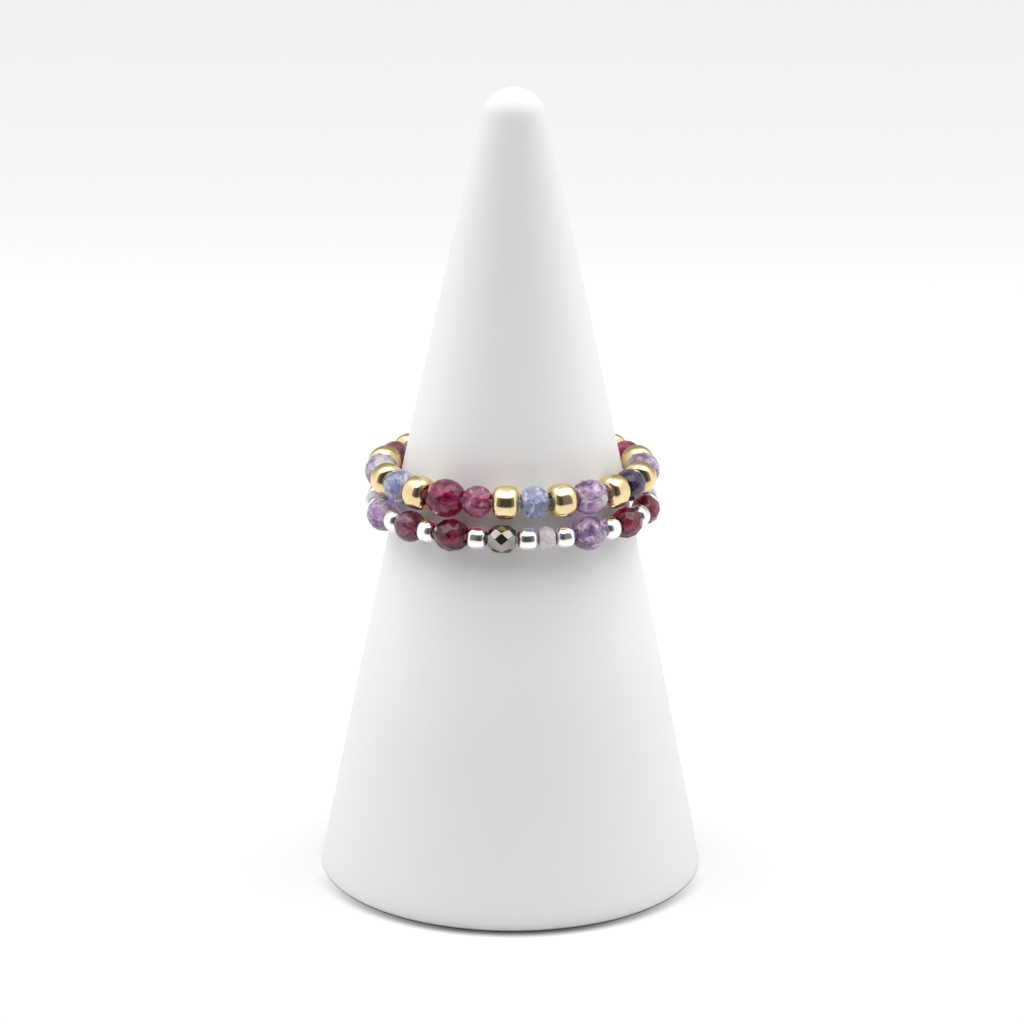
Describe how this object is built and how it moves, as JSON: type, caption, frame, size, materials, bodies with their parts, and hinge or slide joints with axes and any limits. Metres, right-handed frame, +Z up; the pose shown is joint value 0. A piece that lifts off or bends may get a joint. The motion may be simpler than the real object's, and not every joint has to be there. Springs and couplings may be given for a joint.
{
  "type": "stackable ring pair on a ring cone stand",
  "caption": "Beaded elastic stacking rings of faceted gemstones with gold and silver spacers, stacked on a plain white ceramic ring cone.",
  "frame": {"origin": "centre of the cone stand's flat base, which rests on the surface", "axes": "+Z up along the cone's axis and the axis of both rings, -Y towards the front of the rings"},
  "size_m": [0.0296, 0.0296, 0.0605],
  "materials": {
    "ceramic": "matte",
    "gold": "polished",
    "silver": "polished",
    "pyrite": "polished",
    "ruby": "polished",
    "rose": "polished",
    "garnet": "polished",
    "mauve": "polished",
    "amethyst": "polished",
    "lavender": "polished",
    "iolite": "polished",
    "tanzanite": "polished",
    "lilac": "polished"
  },
  "bodies": {
    "root": {"cone_stand": "ceramic", "upper_cord_and_gold_beads": "gold", "upper_stone_01_tanzanite": "tanzanite", "upper_stone_02_amethyst": "amethyst", "upper_stone_03_iolite": "iolite", "upper_stone_04_lavender": "lavender", "upper_stone_05_ruby": "ruby", "upper_stone_06_amethyst": "amethyst", "upper_stone_07_rose": "rose", "upper_stone_08_tanzanite": "tanzanite", "upper_stone_09_lavender": "lavender", "upper_stone_10_mauve": "mauve", "upper_stone_11_lavender": "lavender", "upper_stone_12_tanzanite": "tanzanite", "upper_stone_13_ruby": "ruby", "upper_stone_14_rose": "rose", "lower_cord_and_silver_beads": "silver", "lower_stone_01_pyrite": "pyrite", "lower_stone_02_lilac": "lilac", "lower_stone_03_amethyst": "amethyst", "lower_stone_04_garnet": "garnet", "lower_stone_05_garnet": "garnet", "lower_stone_06_lilac": "lilac", "lower_stone_07_rose": "rose", "lower_stone_08_lavender": "lavender", "lower_stone_09_garnet": "garnet", "lower_stone_10_tanzanite": "tanzanite", "lower_stone_11_mauve": "mauve", "lower_stone_12_iolite": "iolite", "lower_stone_13_garnet": "garnet", "lower_stone_14_amethyst": "amethyst", "lower_stone_15_lilac": "lilac", "lower_stone_16_amethyst": "amethyst", "lower_stone_17_mauve": "mauve", "lower_stone_18_garnet": "garnet"}
  },
  "joints": []
}
